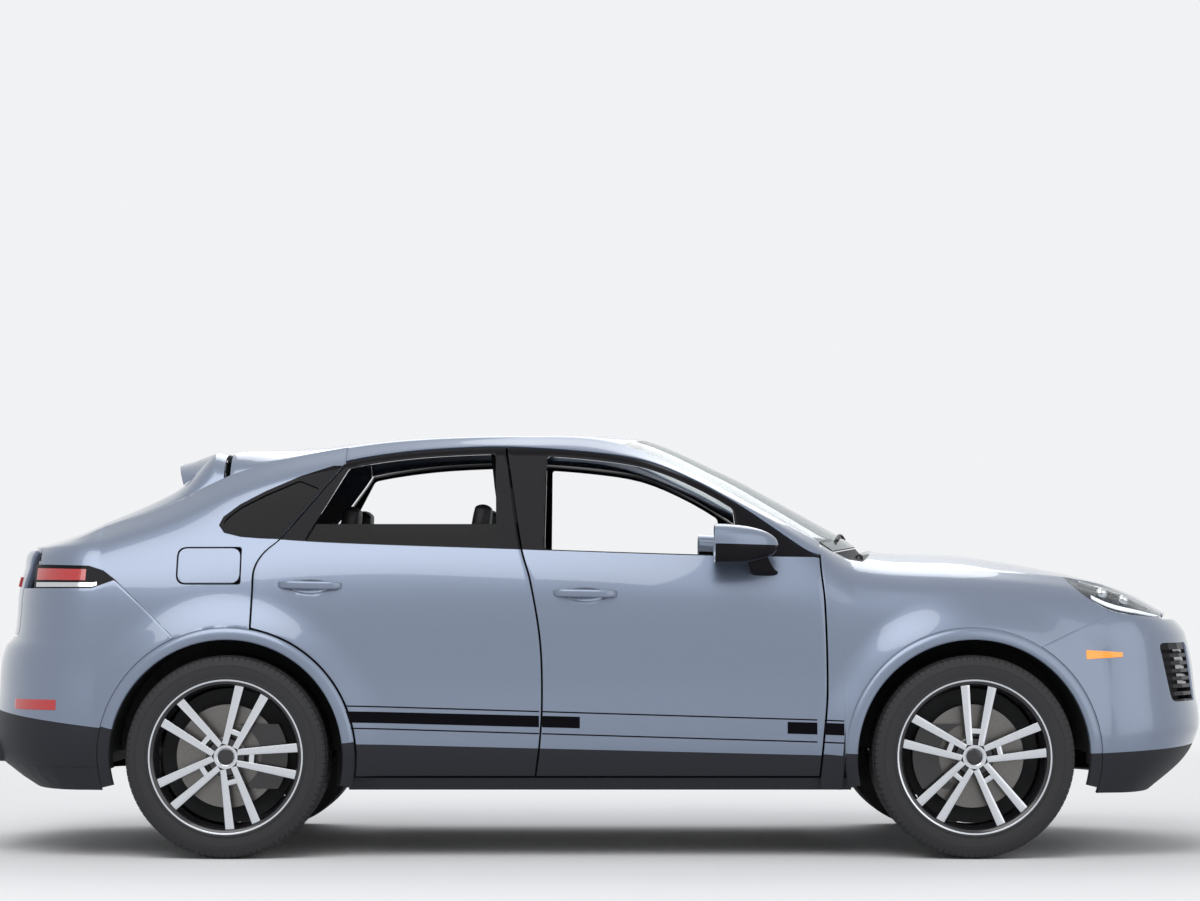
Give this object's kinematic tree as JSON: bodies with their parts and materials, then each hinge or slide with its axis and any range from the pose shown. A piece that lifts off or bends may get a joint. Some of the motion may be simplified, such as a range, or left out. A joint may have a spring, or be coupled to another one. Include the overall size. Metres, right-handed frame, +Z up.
{
  "type": "coupe sport utility vehicle",
  "caption": "Five-door coupe sport utility vehicle with a sloping rear, twin-spoke alloy wheels, opening doors, hood, tailgate and fuel flap, and steered front wheels.",
  "frame": {"origin": "on the ground, under the middle of the vehicle's length and width", "axes": "+X to the nose, +Y to the vehicle's left side, +Z up"},
  "size_m": [4.9269, 2.1786, 1.6803],
  "materials": {
    "paint": "metallic clear coat",
    "dark_trim": "grained",
    "dark_metal": "satin",
    "steel": "cast",
    "alloy": "machined face, dark pockets",
    "tyre": "ribbed",
    "window": "clear",
    "lamp_clear": "clear lens",
    "lamp_red": "red lens",
    "leather": "grained",
    "exhaust": "brushed"
  },
  "bodies": {
    "body": {"floor_pan": "dark_metal", "sills": "dark_trim", "door_posts": "dark_metal", "roof_rails": "paint", "roof": "paint", "windshield": "window", "quarter_left": "paint", "quarter_right": "paint", "quarter_glass": "window", "fender_left": "paint", "fender_right": "paint", "arch_trims": "paint", "wheel_liners": "dark_trim", "front_bumper": "paint", "front_grille": "dark_trim", "headlamps": "lamp_clear", "rear_bumper": "paint", "rear_diffuser": "dark_trim", "tail_lamps": "lamp_red", "exhaust": "exhaust", "engine": "steel", "suspension_arms": "dark_metal", "rear_knuckles": "steel", "dashboard": "leather", "steering_wheel": "leather", "front_seats": "leather", "rear_seat": "leather"},
    "wheel_front_left": {"tyre_front_left": "tyre", "rim_front_left": "alloy", "disc_front_left": "steel"},
    "wheel_front_right": {"tyre_front_right": "tyre", "rim_front_right": "alloy", "disc_front_right": "steel"},
    "wheel_rear_left": {"tyre_rear_left": "tyre", "rim_rear_left": "alloy", "disc_rear_left": "steel"},
    "wheel_rear_right": {"tyre_rear_right": "tyre", "rim_rear_right": "alloy", "disc_rear_right": "steel"},
    "steering_left": {"knuckle_left": "steel"},
    "front_door_left": {"door_front_left": "paint", "mirror_left": "paint"},
    "rear_door_left": {"door_rear_left": "paint", "glass_rear_left": "window"},
    "steering_right": {"knuckle_right": "steel"},
    "front_door_right": {"door_front_right": "paint", "mirror_right": "paint"},
    "rear_door_right": {"door_rear_right": "paint", "glass_rear_right": "window"},
    "hood": {"hood": "paint"},
    "tailgate": {"tailgate": "paint", "rear_glass": "window", "spoiler": "paint", "tail_light_bar": "lamp_red"},
    "fuel_flap": {"fuel_flap": "paint"}
  },
  "joints": [
    {"name": "steer_left", "type": "hinge", "parent": "body", "child": "steering_left", "pos_m": [1.458, 0.76, 0.392], "axis": [0, 0, 1], "range_deg": [-35, 35]},
    {"name": "roll_front_left", "type": "hinge", "parent": "steering_left", "child": "wheel_front_left", "pos_m": [1.458, 0.832, 0.392], "axis": [0, 1, 0], "continuous": true},
    {"name": "roll_rear_left", "type": "hinge", "parent": "body", "child": "wheel_rear_left", "pos_m": [-1.437, 0.817, 0.392], "axis": [0, 1, 0], "continuous": true},
    {"name": "open_front_door_left", "type": "hinge", "parent": "body", "child": "front_door_left", "pos_m": [0.813, 0.91364, 0.65], "axis": [0, 0, -1], "range_deg": [0, 65]},
    {"name": "open_rear_door_left", "type": "hinge", "parent": "body", "child": "rear_door_left", "pos_m": [-0.294, 0.91321, 0.65], "axis": [0, 0, -1], "range_deg": [0, 68]},
    {"name": "steer_right", "type": "hinge", "parent": "body", "child": "steering_right", "pos_m": [1.458, -0.76, 0.392], "axis": [0, 0, 1], "range_deg": [-35, 35]},
    {"name": "roll_front_right", "type": "hinge", "parent": "steering_right", "child": "wheel_front_right", "pos_m": [1.458, -0.832, 0.392], "axis": [0, 1, 0], "continuous": true},
    {"name": "roll_rear_right", "type": "hinge", "parent": "body", "child": "wheel_rear_right", "pos_m": [-1.437, -0.817, 0.392], "axis": [0, 1, 0], "continuous": true},
    {"name": "open_front_door_right", "type": "hinge", "parent": "body", "child": "front_door_right", "pos_m": [0.813, -0.91364, 0.65], "axis": [0, 0, 1], "range_deg": [0, 65]},
    {"name": "open_rear_door_right", "type": "hinge", "parent": "body", "child": "rear_door_right", "pos_m": [-0.294, -0.91321, 0.65], "axis": [0, 0, 1], "range_deg": [0, 68]},
    {"name": "open_hood", "type": "hinge", "parent": "body", "child": "hood", "pos_m": [1.052, 0, 1.165], "axis": [0, -1, 0], "range_deg": [0, 50]},
    {"name": "open_tailgate", "type": "hinge", "parent": "body", "child": "tailgate", "pos_m": [-1.487, 0, 1.572], "axis": [0, 1, 0], "range_deg": [0, 75]},
    {"name": "open_fuel_flap", "type": "hinge", "parent": "body", "child": "fuel_flap", "pos_m": [-1.408, -0.88221, 1.132], "axis": [0, 0.3218, 0.9468], "range_deg": [0, 95]}
  ],
  "couplings": [
    {"joint": "steer_right", "follows": "steer_left", "ratio": 1}
  ]
}
